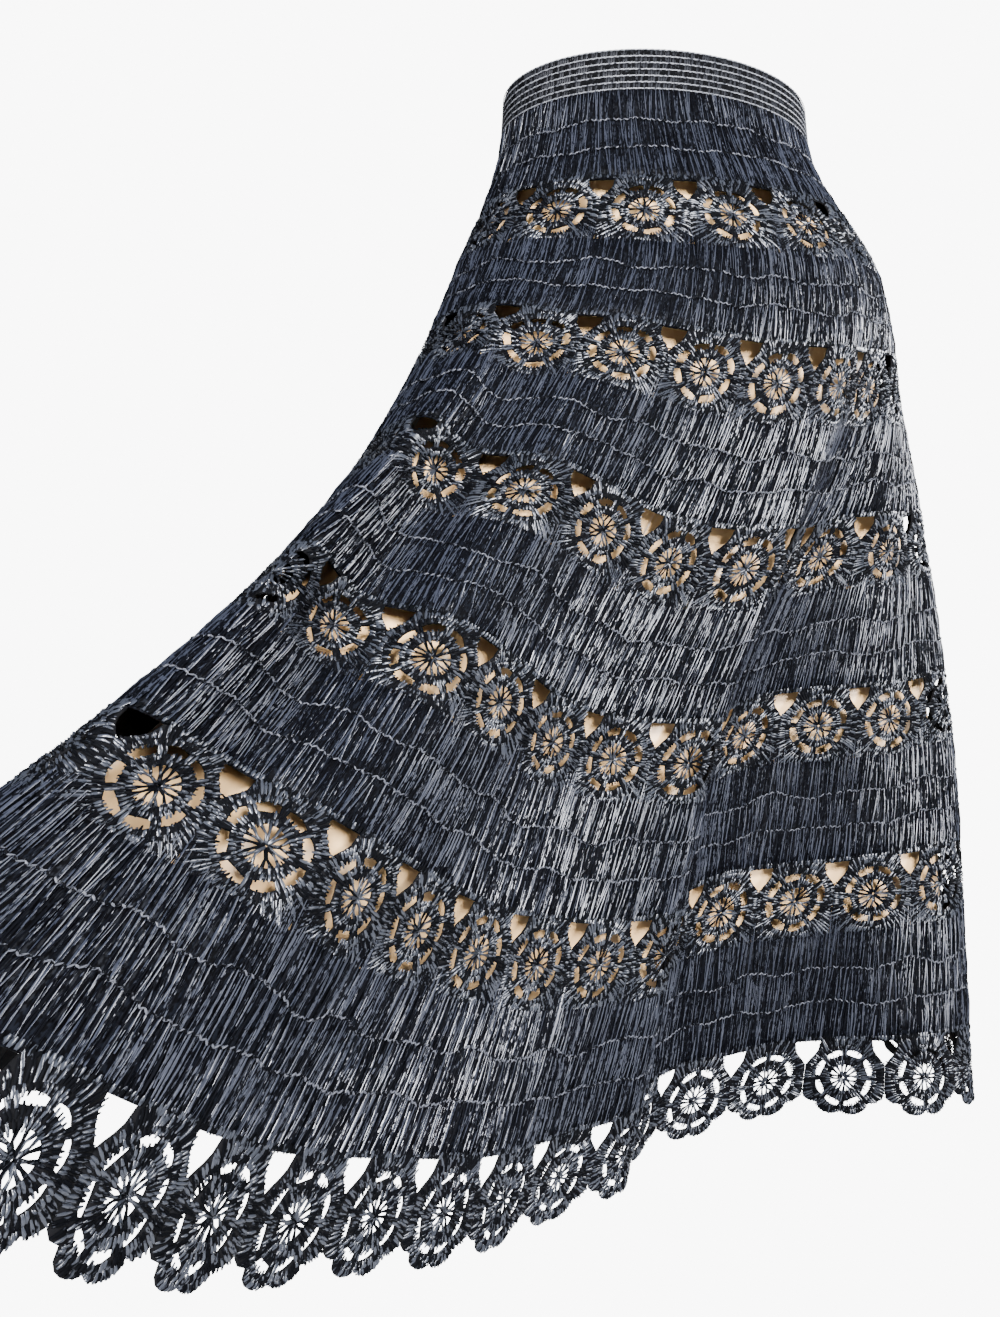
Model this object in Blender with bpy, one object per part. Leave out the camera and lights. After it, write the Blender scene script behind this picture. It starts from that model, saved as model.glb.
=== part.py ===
"""Circle skirt in six tiers: a ribbed waistband, six tiers of long-stitch rows, six bands of crochet
medallions and a satin lining. It is shaped as worn, with the hem drawn forward and out on one side.

The origin is the centre of the waistband. +X is to the right seen from the front, the front faces -Y
and +Z is up. A place on the cloth is given by its share, the part of the way round, and its drop, the
distance down the cloth from the top edge. Share 0 is the right side and the front comes next.
"""

import bmesh
import bpy
import numpy as np

# Driving dimensions, in metres
WAISTBAND_HEIGHT = 0.031
LACE_HEIGHT = 0.0585
SEAM_GAP = 0.0003

CLOTH_THICKNESS = 0.002
LINING_THICKNESS = 0.001
WAISTBAND_THICKNESS = 0.0025
WAIST_RIBS = 6
WAIST_RIB_RISE = 0.0012
CHAIN_LINE_RISE = 0.0008
ROWS_PER_TIER = 3

# The six tiers from the top, each with the lace band sewn under it. Columns: height of the tier,
# number of medallions in the band, and how far the first one is moved on, in medallions.
TIERS = [
    (0.073, 14, -0.02),
    (0.066, 19, 0.35),
    (0.069, 22, -0.38),
    (0.075, 28, -0.28),
    (0.078, 34, 0.12),
    (0.080, 40, -0.40),
]

# Two ovals that the cloth lies on before it falls free. Columns: half width, half depth, turn about Z
# in degrees, and the centre's x and y. The hip oval rises a little at both sides.
WAIST_OVAL = (0.124, 0.082, -14.0, 0.000, 0.000)
HIP_OVAL = (0.171, 0.124, -12.0, 0.009, -0.004)
HIP_DROP = 0.165
HIP_HANG = 0.985
HIP_SIDE_RISE = 0.022
WAIST_EASE = 0.05

# The folds: a row for each crest, trough or bend of the cloth going round. It gives the share, where
# the cloth passes halfway down the fourth lace band, and where it passes halfway down the hem lace,
# in centimetres.
FOLD_COLUMNS = ("share", "mid_x", "mid_y", "mid_z", "low_x", "low_y", "low_z")
FOLDS = [
    (0.000, 23.8, 0.5, -46.0, 23.5, -4.0, -73.5),
    (0.035, 19.0, -2.5, -47.0, 17.0, -8.0, -73.0),
    (0.070, 13.5, -4.0, -47.5, 9.5, -4.5, -74.5),
    (0.100, 8.0, -3.5, -48.0, 3.0, -5.5, -75.5),
    (0.125, 4.0, -5.5, -49.0, -1.2, -7.0, -76.0),
    (0.140, 2.2, -8.5, -49.5, -3.4, -10.0, -76.0),
    (0.155, 2.2, -11.5, -49.5, -3.8, -13.5, -75.5),
    (0.180, -1.0, -13.5, -49.5, -9.0, -18.0, -75.0),
    (0.215, -5.5, -15.5, -49.0, -14.0, -25.0, -73.0),
    (0.250, -9.5, -19.5, -47.5, -19.0, -32.0, -69.5),
    (0.285, -12.5, -23.5, -45.0, -23.0, -38.5, -66.0),
    (0.320, -16.0, -27.5, -42.5, -25.5, -45.0, -61.5),
    (0.355, -21.0, -27.0, -41.0, -28.0, -50.5, -57.0),
    (0.390, -23.0, -32.0, -38.5, -33.5, -53.0, -53.0),
    (0.430, -26.0, -27.0, -39.0, -38.5, -45.0, -54.5),
    (0.480, -27.5, -19.5, -40.5, -39.5, -33.5, -59.5),
    (0.530, -27.0, -11.5, -42.5, -37.5, -22.5, -65.0),
    (0.580, -26.0, -3.5, -45.0, -35.0, -11.5, -69.5),
    (0.630, -23.5, 4.5, -47.0, -32.0, -1.0, -72.5),
    (0.680, -18.5, 11.0, -48.0, -27.0, 8.5, -74.0),
    (0.730, -12.0, 15.5, -48.5, -19.0, 16.5, -75.0),
    (0.780, -4.0, 17.0, -49.0, -9.0, 21.0, -75.0),
    (0.820, 2.0, 15.0, -49.0, -1.5, 16.5, -76.0),
    (0.860, 8.0, 17.0, -48.5, 6.5, 21.5, -75.0),
    (0.900, 14.0, 14.0, -48.5, 14.5, 17.0, -75.5),
    (0.935, 18.0, 9.5, -48.0, 20.0, 10.5, -75.0),
    (0.970, 22.0, 5.5, -47.0, 24.0, 3.0, -74.5),
]

# The lace: heights are from the top of the band, and widths are in medallions.
GAP_TOP = 0.0028
GAP_BOTTOM = 0.0185
GAP_TOP_HALF = 0.17
GAP_BOTTOM_HALF = 0.06
EYE_RADIUS = 0.0105
EYE_HEIGHT = 0.0305
SCALLOP_NOTCH = 0.008
SCALLOP_MID_NOTCH = 0.0045
BANDS_WITH_OPEN_EYES = (2, 3, 4, 5, 6)

# The lining hangs inside the cloth in nine gores. Columns: the drop of each ring of it, and how far that
# ring lies inside the cloth.
LINING_RINGS = [
    (0.020, 0.0046),
    (0.060, 0.0075),
    (0.110, 0.0115),
    (0.175, 0.0135),
    (0.270, 0.0135),
    (0.400, 0.0130),
    (0.560, 0.0130),
    (0.762, 0.0120),
]
# The gores of the lining. Columns: the shares where each starts and ends, and its points across. The first
# begins at the right side. The sixth starts at the corner that is drawn out and runs straight across it.
GORES = [
    (0.950, 1.012, 4),
    (1.012, 1.074, 3),
    (1.074, 1.137, 4),
    (1.137, 1.243, 5),
    (1.243, 1.350, 5),
    (1.350, 1.540, 6),
    (1.540, 1.700, 7),
    (1.700, 1.825, 6),
    (1.825, 1.950, 6),
]
LINING_CORNER = (1.350, 1.435)
# How far each gore stops short of the seam at the sharp bend there.
LINING_CORNER_GAP = 0.0006

# Colours, roughness
BLACK_STITCH = (0.016, 0.019, 0.028, 1.0)
BLACK_CROCHET = (0.022, 0.026, 0.036, 1.0)
BLACK_RIB = (0.018, 0.020, 0.028, 1.0)
TAN_SATIN = (0.52, 0.36, 0.22, 1.0)


def drops_of_seams():
    """The drop of each seam, from the top edge down to the hem."""
    drops = [0.0, WAISTBAND_HEIGHT]
    for height, *_ in TIERS:
        drops.append(drops[-1] + height)
        drops.append(drops[-1] + LACE_HEIGHT)
    return drops


SEAMS = drops_of_seams()
HEM_DROP = SEAMS[-1]
MID_DROP = SEAMS[8] + LACE_HEIGHT / 2
LOW_DROP = HEM_DROP - LACE_HEIGHT / 2
FOLD = dict(zip(FOLD_COLUMNS, np.array(FOLDS).T))


def hermite(t, span, start, end, start_slope, end_slope):
    """A cubic from start to end with the slopes given."""
    rise = 3 * t**2 - 2 * t**3
    return (
        (1 - rise) * start
        + rise * end
        + span * (t**3 - 2 * t**2 + t) * start_slope
        + span * (t**3 - t**2) * end_slope
    )


def round_the_folds(column, share):
    """A column of the folds table at any share, on a smooth closed curve."""
    at = np.concatenate([FOLD["share"] + turn for turn in (-1, 0, 1)])
    value = np.tile(FOLD[column] / 100, 3)
    slope = np.gradient(value, at)
    row = np.clip(np.searchsorted(at, share, side="right") - 1, 0, len(at) - 2)
    span = at[row + 1] - at[row]
    t = (share - at[row]) / span
    return hermite(t, span, value[row], value[row + 1], slope[row], slope[row + 1])


def oval(shape, share):
    """x and y round an oval."""
    half_width, half_depth, turn, centre_x, centre_y = shape
    angle = -2 * np.pi * share
    along = half_width * np.cos(angle)
    across = half_depth * np.sin(angle)
    cosine, sine = np.cos(np.radians(turn)), np.sin(np.radians(turn))
    return along * cosine + across * sine + centre_x, across * cosine - along * sine + centre_y


def middle_of_cloth(share, drop):
    """The middle of the cloth's thickness at shares and drops, as rows of x, y, z."""
    level = np.ones_like(share)
    waist_x, waist_y = oval(WAIST_OVAL, share)
    hip_x, hip_y = oval(HIP_OVAL, share)
    side = np.cos(2 * np.pi * share) ** 2
    hip_z = HIP_SIDE_RISE * side - HIP_HANG * (HIP_DROP - WAISTBAND_HEIGHT / 2)
    top = np.stack([waist_x, waist_y, level * WAISTBAND_HEIGHT / 2])
    hip = np.stack([hip_x, hip_y, hip_z])
    under_band = np.stack(
        [
            waist_x + WAIST_EASE * (hip_x - waist_x),
            waist_y + WAIST_EASE * (hip_y - waist_y),
            -level * WAISTBAND_HEIGHT / 2,
        ]
    )
    middle = np.stack([round_the_folds(f"mid_{axis}", share) for axis in "xyz"])
    low = np.stack([round_the_folds(f"low_{axis}", share) for axis in "xyz"])
    hem = low + (low - middle) * (HEM_DROP - LOW_DROP) / (LOW_DROP - MID_DROP)

    knots = np.array([0, WAISTBAND_HEIGHT, HIP_DROP, MID_DROP, LOW_DROP, HEM_DROP])
    value = np.stack([top, under_band, hip, middle, low, hem])
    slope = np.gradient(value, knots, axis=0)
    slope[0] = (under_band - top) / WAISTBAND_HEIGHT
    slope[1] = (slope[0] + slope[1]) / 2
    row = np.clip(np.searchsorted(knots, drop, side="right") - 1, 0, len(knots) - 2)
    span = knots[row + 1] - knots[row]
    t = (drop - knots[row]) / span
    here = np.arange(len(share))
    return hermite(
        t,
        span,
        value[row, :, here].T,
        value[row + 1, :, here].T,
        slope[row, :, here].T,
        slope[row + 1, :, here].T,
    ).T


def cloth(share, drop, out):
    """Points of the cloth moved out from its middle, away from the wearer."""
    share, drop, out = np.broadcast_arrays(
        np.asarray(share, float), np.asarray(drop, float), np.asarray(out, float)
    )
    step = 1e-4
    here = middle_of_cloth(share, drop)
    forward = middle_of_cloth(share + step, drop) - middle_of_cloth(share - step, drop)
    down = middle_of_cloth(share, drop + step) - middle_of_cloth(share, drop - step)
    normal = np.cross(forward, down)
    normal /= np.linalg.norm(normal, axis=1)[:, None]
    return here + normal * out[:, None]


def length_round(drop):
    """Shares in fine steps at one drop, and how far round the cloth each of them lies, in metres."""
    fine = np.linspace(0, 1, 1501)
    ring = middle_of_cloth(fine, np.full_like(fine, drop))
    return fine, np.concatenate([[0], np.cumsum(np.linalg.norm(np.diff(ring, axis=0), axis=1))])


def shares_by_length(drop, parts):
    """Shares that lie at the given parts of the length round the cloth at one drop."""
    fine, length = length_round(drop)
    parts = np.asarray(parts, float)
    turns = np.floor(parts)
    return turns + np.interp((parts - turns) * length[-1], length, fine)


def material(name, colour, roughness, sheen=0.0):
    made = bpy.data.materials.new(name)
    made.use_nodes = True
    shader = made.node_tree.nodes["Principled BSDF"]
    shader.inputs["Base Color"].default_value = colour
    shader.inputs["Roughness"].default_value = roughness
    shader.inputs["Metallic"].default_value = 0.0
    shader.inputs["Sheen Weight"].default_value = sheen
    return made


def walled(name, outer, inner, shares, faces, finish):
    """One closed wall: the outer faces, the same faces inside, and a strip along every free edge. The
    shares say which way a strip is divided, so that two strips that face each other match."""
    work = bmesh.new()
    outside = [work.verts.new(point) for point in outer]
    inside = [work.verts.new(point) for point in inner]
    uses = {}
    for face in faces:
        work.faces.new([outside[corner] for corner in reversed(face)])
        work.faces.new([inside[corner] for corner in face])
        for start, end in zip(face, face[1:] + face[:1]):
            uses[start, end] = uses.get((start, end), 0) + 1
    for start, end in uses:
        if (end, start) in uses:
            continue
        if shares[start] < shares[end]:
            work.faces.new([outside[start], outside[end], inside[end]])
            work.faces.new([outside[start], inside[end], inside[start]])
        else:
            work.faces.new([outside[start], outside[end], inside[start]])
            work.faces.new([outside[end], inside[end], inside[start]])
    loose = [vert for vert in work.verts if not vert.link_faces]
    bmesh.ops.delete(work, geom=loose, context="VERTS")
    mesh = bpy.data.meshes.new(name)
    work.to_mesh(mesh)
    work.free()
    mesh.shade_smooth()
    mesh.set_sharp_from_angle(angle=np.radians(40))
    mesh.materials.append(finish)
    made = bpy.data.objects.new(name, mesh)
    bpy.context.scene.collection.objects.link(made)
    return made


def seam_shares(number):
    """Shares of the points that a lace band has along its seams, two for each medallion."""
    _, count, shift = TIERS[number - 1]
    middle = SEAMS[2 * number] + LACE_HEIGHT / 2
    parts = (np.arange(2 * count) / 2 + shift) / count
    return np.sort(shares_by_length(middle, parts) % 1)


def faces_between(upper, lower, upper_start, lower_start):
    """Triangles that join two rings of points, taken in the order of their shares."""
    faces = []
    high, low = 0, 0
    while high < len(upper) or low < len(lower):
        next_high = upper[(high + 1) % len(upper)] + (high + 1) // len(upper)
        next_low = lower[(low + 1) % len(lower)] + (low + 1) // len(lower)
        corners = [upper_start + high % len(upper), lower_start + low % len(lower)]
        if low == len(lower) or (high < len(upper) and next_high <= next_low):
            high += 1
            corners.append(upper_start + high % len(upper))
        else:
            low += 1
            corners.append(lower_start + low % len(lower))
        faces.append(corners)
    return faces


def tube(name, rings, thickness, finish):
    """A whole ring of cloth. Each ring gives its drop, how far its outer points are raised, how far
    it lies inside the cloth, and its shares."""
    outer, inner, placed, faces = [], [], [], []
    last = None
    for drop, raised, inside, shares in rings:
        start = len(outer)
        placed.extend(shares)
        outer.extend(cloth(shares, drop, thickness / 2 + raised - inside))
        inner.extend(cloth(shares, drop, -thickness / 2 - inside))
        if last is not None:
            faces.extend(faces_between(last[1], shares, last[0], start))
        last = start, shares
    walled(name, outer, inner, placed, faces, finish)


def waistband():
    """Horizontal ribs raised on the outside of a plain band."""
    shares = seam_shares(1)
    steps = 2 * WAIST_RIBS
    drops = np.linspace(0, WAISTBAND_HEIGHT - SEAM_GAP / 2, steps + 1)
    rings = [(drop, WAIST_RIB_RISE * (step % 2), 0.0, shares) for step, drop in enumerate(drops)]
    tube("waistband", rings, WAISTBAND_THICKNESS, RIB_FINISH)


def tier(number):
    """Three rows of long stitches, parted by two raised chain lines."""
    top = SEAMS[2 * number - 1] + SEAM_GAP / 2
    bottom = SEAMS[2 * number] - SEAM_GAP / 2
    above, below = seam_shares(max(number - 1, 1)), seam_shares(number)
    rings = []
    for row, drop in enumerate(np.linspace(top, bottom, ROWS_PER_TIER + 1)):
        raised = CHAIN_LINE_RISE if 0 < row < ROWS_PER_TIER else 0.0
        rings.append((drop, raised, 0.0, above if 2 * row < ROWS_PER_TIER else below))
    tube(f"tier_{number}", rings, CLOTH_THICKNESS, STITCH_FINISH)


def medallion_points(pitch, height, open_eye, scalloped):
    """Named points of one medallion's cell: the part of a medallion across, and the height below
    the top of the band. The cell runs from the middle of one gap to the middle of the next."""
    points = {
        "top": (0, 0),
        "gap_left_top": (-0.5 + GAP_TOP_HALF, GAP_TOP),
        "gap_left_bottom": (-0.5 + GAP_BOTTOM_HALF, GAP_BOTTOM),
        "gap_right_top": (0.5 - GAP_TOP_HALF, GAP_TOP),
        "gap_right_bottom": (0.5 - GAP_BOTTOM_HALF, GAP_BOTTOM),
        "corner": (0.5, 0),
    }
    if open_eye:
        for name, angle in EYE_ANGLES.items():
            across = EYE_RADIUS * np.cos(angle) / pitch
            points[name] = (across, EYE_HEIGHT - EYE_RADIUS * np.sin(angle))
    if scalloped:
        points["foot"] = (0.5, height - SCALLOP_NOTCH)
        points["notch"] = (0, height - SCALLOP_MID_NOTCH)
        points["scallop_1"] = (-0.37, height)
        points["scallop_2"] = (-0.13, height)
        points["scallop_3"] = (0.13, height)
        points["scallop_4"] = (0.37, height)
    else:
        points["foot"] = (0.5, height)
        points["notch"] = (0, height)
    return points


EYE_ANGLES = {
    "eye_right": 0.0,
    "eye_top_right": np.pi / 3,
    "eye_top_left": 2 * np.pi / 3,
    "eye_left": np.pi,
    "eye_bottom_left": 4 * np.pi / 3,
    "eye_bottom_right": 5 * np.pi / 3,
}

# The faces of one cell, by the names of their corners, going round so that they face out. A name that
# starts with last or next belongs to the cell on that side.
TOP_FACES = [
    "last_corner gap_left_top top",
    "top gap_right_top corner",
]
BRIDGE_FACES = [
    "gap_right_top next_gap_left_top corner",
    "gap_right_bottom foot next_gap_left_bottom",
]
OPEN_FACES = [
    "gap_left_top eye_top_left top",
    "top eye_top_left eye_top_right",
    "top eye_top_right gap_right_top",
    "gap_left_top gap_left_bottom eye_left eye_top_left",
    "eye_top_right eye_right gap_right_bottom gap_right_top",
]
PLAIN_FOOT_FACES = [
    "gap_left_bottom last_foot eye_bottom_left eye_left",
    "last_foot notch eye_bottom_left",
    "eye_bottom_left notch eye_bottom_right",
    "eye_bottom_right notch foot",
    "eye_right eye_bottom_right foot gap_right_bottom",
]
SCALLOPED_FOOT_FACES = [
    "gap_left_bottom last_foot scallop_1 eye_left",
    "eye_left scallop_1 scallop_2 eye_bottom_left",
    "eye_bottom_left scallop_2 notch",
    "eye_bottom_left notch eye_bottom_right",
    "eye_bottom_right notch scallop_3",
    "eye_bottom_right scallop_3 scallop_4 eye_right",
    "eye_right scallop_4 foot gap_right_bottom",
]
CLOSED_FACES = [
    "gap_left_top gap_left_bottom top",
    "top gap_left_bottom notch gap_right_bottom",
    "top gap_right_bottom gap_right_top",
    "gap_left_bottom last_foot notch",
    "notch foot gap_right_bottom",
]


def lace(number):
    """A band of medallions, made as two walls that meet at the middle of a gap on each side. The
    gaps under the top row and the eyes of the medallions are cut through."""
    _, count, shift = TIERS[number - 1]
    top = SEAMS[2 * number] + SEAM_GAP / 2
    last = number == len(TIERS)
    height = LACE_HEIGHT - (SEAM_GAP / 2 if last else SEAM_GAP)
    middle = SEAMS[2 * number] + LACE_HEIGHT / 2
    open_eye = number in BANDS_WITH_OPEN_EYES
    pitch = length_round(middle)[1][-1] / count
    cell = medallion_points(pitch, height, open_eye, last)
    cell_faces = TOP_FACES + BRIDGE_FACES
    if open_eye:
        cell_faces = cell_faces + OPEN_FACES
        cell_faces = cell_faces + (SCALLOPED_FOOT_FACES if last else PLAIN_FOOT_FACES)
    else:
        cell_faces = cell_faces + CLOSED_FACES
    half = count // 2
    for side, first, size in (("front", 0, half), ("back", half, count - half)):
        points, faces = half_band(cell, cell_faces, size, SEAM_GAP / 2 / pitch)
        halves = 2 * (points[:, 0] + first + 0.5)
        before = np.floor(halves + 1e-9)
        part = halves - before
        drop = top + points[:, 1]
        start = shares_by_length(middle, (before / 2 + shift) / count)
        end = shares_by_length(middle, ((before + 1) / 2 + shift) / count)
        walls = []
        for out in (CLOTH_THICKNESS / 2, -CLOTH_THICKNESS / 2):
            from_points, to_points = cloth(start, drop, out), cloth(end, drop, out)
            walls.append(from_points + part[:, None] * (to_points - from_points))
        shares = (start + part * (end - start)) % 1
        walled(f"lace_{number}_{side}", *walls, shares, faces, CROCHET_FINISH)


def half_band(cell, cell_faces, size, end_gap):
    """Points and faces of a row of cells. Both ends stop at the middle of a gap, so the points on
    the end lines stand in for those of the missing neighbour."""
    points, index = [], {}

    def add(key, across, down):
        index[key] = len(points)
        points.append((across, down))

    for place in range(size):
        for name, (across, down) in cell.items():
            at_end = place == size - 1 and name in ("corner", "foot")
            add((place, name), place + across - (end_gap if at_end else 0), down)
    foot_down = cell["foot"][1]
    add((-1, "corner"), -0.5 + end_gap, 0)
    add((-1, "foot"), -0.5 + end_gap, foot_down)
    add((-1, "gap_right_top"), -0.5 + end_gap, GAP_TOP)
    add((-1, "gap_right_bottom"), -0.5 + end_gap, GAP_BOTTOM)
    add((size, "gap_left_top"), size - 0.5 - end_gap, GAP_TOP)
    add((size, "gap_left_bottom"), size - 0.5 - end_gap, GAP_BOTTOM)
    faces = []
    for place in range(-1, size):
        for names in BRIDGE_FACES if place < 0 else cell_faces:
            corners = []
            for name in names.split():
                where = place
                if name.startswith("next_"):
                    where, name = place + 1, name[len("next_"):]
                elif name.startswith("last_"):
                    where, name = place - 1, name[len("last_"):]
                corners.append(index[where, name])
            faces.append(corners)
    return np.array(points), faces


def gore(number, start, end, count):
    """A satin panel that hangs from the waistband inside the cloth and ends above the hem lace."""
    shares = np.linspace(start, end, count)
    if start == LINING_CORNER[0]:
        shares = np.concatenate([[start], np.linspace(LINING_CORNER[1], end, count - 1)])
    outer, inner, placed = [], [], []
    for drop, inside in LINING_RINGS:
        walls = []
        for out in (LINING_THICKNESS / 2, -LINING_THICKNESS / 2):
            row = cloth(shares, drop, out - inside)
            for end_point, next_point, share in ((0, 1, start), (-1, -2, end)):
                inwards = row[next_point] - row[end_point]
                short = LINING_CORNER_GAP if share == LINING_CORNER[0] else SEAM_GAP / 2
                row[end_point] += inwards * (short / np.linalg.norm(inwards))
            walls.append(row)
        outer.extend(walls[0])
        inner.extend(walls[1])
        placed.extend(shares)
    faces = []
    for ring in range(len(LINING_RINGS) - 1):
        for column in range(count - 1):
            corner = ring * count + column
            faces.append([corner, corner + count, corner + 1])
            faces.append([corner + 1, corner + count, corner + count + 1])
    walled(f"lining_gore_{number}", outer, inner, placed, faces, SATIN_FINISH)


for old in list(bpy.data.objects):
    bpy.data.objects.remove(old, do_unlink=True)

RIB_FINISH = material("black rib", BLACK_RIB, 0.55)
STITCH_FINISH = material("black long stitch", BLACK_STITCH, 0.38)
CROCHET_FINISH = material("black crochet", BLACK_CROCHET, 0.60)
SATIN_FINISH = material("tan satin", TAN_SATIN, 0.42, sheen=0.2)

waistband()
for tier_number in range(1, len(TIERS) + 1):
    tier(tier_number)
    lace(tier_number)
for gore_number, (gore_start, gore_end, points_across) in enumerate(GORES, start=1):
    gore(gore_number, gore_start, gore_end, points_across)
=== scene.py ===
"""Circle skirt of blue-black raffia with a ribbed waistband, tiers of long stitches, bands of crochet
medallions and a tan satin lining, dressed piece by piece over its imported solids."""

import bmesh
import bpy
import numpy as np
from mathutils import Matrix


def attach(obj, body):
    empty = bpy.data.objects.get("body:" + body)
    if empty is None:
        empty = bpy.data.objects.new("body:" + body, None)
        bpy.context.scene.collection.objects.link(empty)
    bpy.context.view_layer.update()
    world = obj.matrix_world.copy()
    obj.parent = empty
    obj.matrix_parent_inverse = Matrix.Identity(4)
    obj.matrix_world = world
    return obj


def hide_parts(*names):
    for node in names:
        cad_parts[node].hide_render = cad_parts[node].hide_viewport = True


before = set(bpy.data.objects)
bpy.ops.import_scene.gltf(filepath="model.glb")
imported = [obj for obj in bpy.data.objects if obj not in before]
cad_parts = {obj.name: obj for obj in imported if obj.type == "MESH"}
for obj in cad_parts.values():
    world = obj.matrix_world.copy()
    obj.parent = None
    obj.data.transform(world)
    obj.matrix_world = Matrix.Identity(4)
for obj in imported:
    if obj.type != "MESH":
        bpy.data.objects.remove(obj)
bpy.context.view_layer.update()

# ---- Waistband
# A stiff band crocheted in rows round the waist. Seven thin raised cords part rows of short upright
# stitches, and everything below hangs from its lower edge.

WAISTBAND_HEIGHT = 0.031
LACE_HEIGHT = 0.0585
# The six tiers from the top, each with the lace band sewn under it. Columns: height of the tier,
# number of medallions in the band, and how far the first one is moved on, in medallions.
TIERS = [
    (0.073, 14, -0.02),
    (0.066, 19, 0.35),
    (0.069, 22, -0.38),
    (0.075, 28, -0.28),
    (0.078, 34, 0.12),
    (0.080, 40, -0.40),
]
# Two ovals that the cloth lies on before it falls free. Columns: half width, half depth, turn about Z
# in degrees, and the centre's x and y.
WAIST_OVAL = (0.124, 0.082, -14.0, 0.000, 0.000)
HIP_OVAL = (0.171, 0.124, -12.0, 0.009, -0.004)
# How far the hip oval is from the waist along the cloth and how much of that is height, how much it
# rises at the sides, and how much of the way out to it the cloth has gone at the waistband's lower edge.
HIP_DROP = 0.165
HIP_HANG = 0.985
HIP_SIDE_RISE = 0.022
WAIST_EASE = 0.05
# Where each fold passes halfway down the fourth lace band and halfway down the hem lace, in centimetres,
# at its share of the way round.
FOLD_COLUMNS = ("share", "mid_x", "mid_y", "mid_z", "low_x", "low_y", "low_z")
FOLDS = [
    (0.000, 23.8, 0.5, -46.0, 23.5, -4.0, -73.5),
    (0.035, 19.0, -2.5, -47.0, 17.0, -8.0, -73.0),
    (0.070, 13.5, -4.0, -47.5, 9.5, -4.5, -74.5),
    (0.100, 8.0, -3.5, -48.0, 3.0, -5.5, -75.5),
    (0.125, 4.0, -5.5, -49.0, -1.2, -7.0, -76.0),
    (0.140, 2.2, -8.5, -49.5, -3.4, -10.0, -76.0),
    (0.155, 2.2, -11.5, -49.5, -3.8, -13.5, -75.5),
    (0.180, -1.0, -13.5, -49.5, -9.0, -18.0, -75.0),
    (0.215, -5.5, -15.5, -49.0, -14.0, -25.0, -73.0),
    (0.250, -9.5, -19.5, -47.5, -19.0, -32.0, -69.5),
    (0.285, -12.5, -23.5, -45.0, -23.0, -38.5, -66.0),
    (0.320, -16.0, -27.5, -42.5, -25.5, -45.0, -61.5),
    (0.355, -21.0, -27.0, -41.0, -28.0, -50.5, -57.0),
    (0.390, -23.0, -32.0, -38.5, -33.5, -53.0, -53.0),
    (0.430, -26.0, -27.0, -39.0, -38.5, -45.0, -54.5),
    (0.480, -27.5, -19.5, -40.5, -39.5, -33.5, -59.5),
    (0.530, -27.0, -11.5, -42.5, -37.5, -22.5, -65.0),
    (0.580, -26.0, -3.5, -45.0, -35.0, -11.5, -69.5),
    (0.630, -23.5, 4.5, -47.0, -32.0, -1.0, -72.5),
    (0.680, -18.5, 11.0, -48.0, -27.0, 8.5, -74.0),
    (0.730, -12.0, 15.5, -48.5, -19.0, 16.5, -75.0),
    (0.780, -4.0, 17.0, -49.0, -9.0, 21.0, -75.0),
    (0.820, 2.0, 15.0, -49.0, -1.5, 16.5, -76.0),
    (0.860, 8.0, 17.0, -48.5, 6.5, 21.5, -75.0),
    (0.900, 14.0, 14.0, -48.5, 14.5, 17.0, -75.5),
    (0.935, 18.0, 9.5, -48.0, 20.0, 10.5, -75.0),
    (0.970, 22.0, 5.5, -47.0, 24.0, 3.0, -74.5),
]
FOLD = dict(zip(FOLD_COLUMNS, np.array(FOLDS).T))


def drops_of_seams():
    """The drop of each seam, from the top edge down to the hem."""
    drops = [0.0, WAISTBAND_HEIGHT]
    for height, *_ in TIERS:
        drops.append(drops[-1] + height)
        drops.append(drops[-1] + LACE_HEIGHT)
    return drops


SEAMS = drops_of_seams()
HEM_DROP = SEAMS[-1]
MID_DROP = SEAMS[8] + LACE_HEIGHT / 2
LOW_DROP = HEM_DROP - LACE_HEIGHT / 2


def hermite(t, span, start, end, start_slope, end_slope):
    """A cubic from start to end with the slopes given."""
    rise = 3 * t**2 - 2 * t**3
    return (
        (1 - rise) * start
        + rise * end
        + span * (t**3 - 2 * t**2 + t) * start_slope
        + span * (t**3 - t**2) * end_slope
    )


def round_the_folds(column, share):
    """A column of the folds table at any share, on a smooth closed curve."""
    at = np.concatenate([FOLD["share"] + turn for turn in (-1, 0, 1)])
    value = np.tile(FOLD[column] / 100, 3)
    slope = np.gradient(value, at)
    row = np.clip(np.searchsorted(at, share, side="right") - 1, 0, len(at) - 2)
    span = at[row + 1] - at[row]
    t = (share - at[row]) / span
    return hermite(t, span, value[row], value[row + 1], slope[row], slope[row + 1])


def oval(shape, share):
    """x and y round an oval."""
    half_width, half_depth, turn, centre_x, centre_y = shape
    angle = -2 * np.pi * share
    along = half_width * np.cos(angle)
    across = half_depth * np.sin(angle)
    cosine, sine = np.cos(np.radians(turn)), np.sin(np.radians(turn))
    return along * cosine + across * sine + centre_x, across * cosine - along * sine + centre_y


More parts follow.
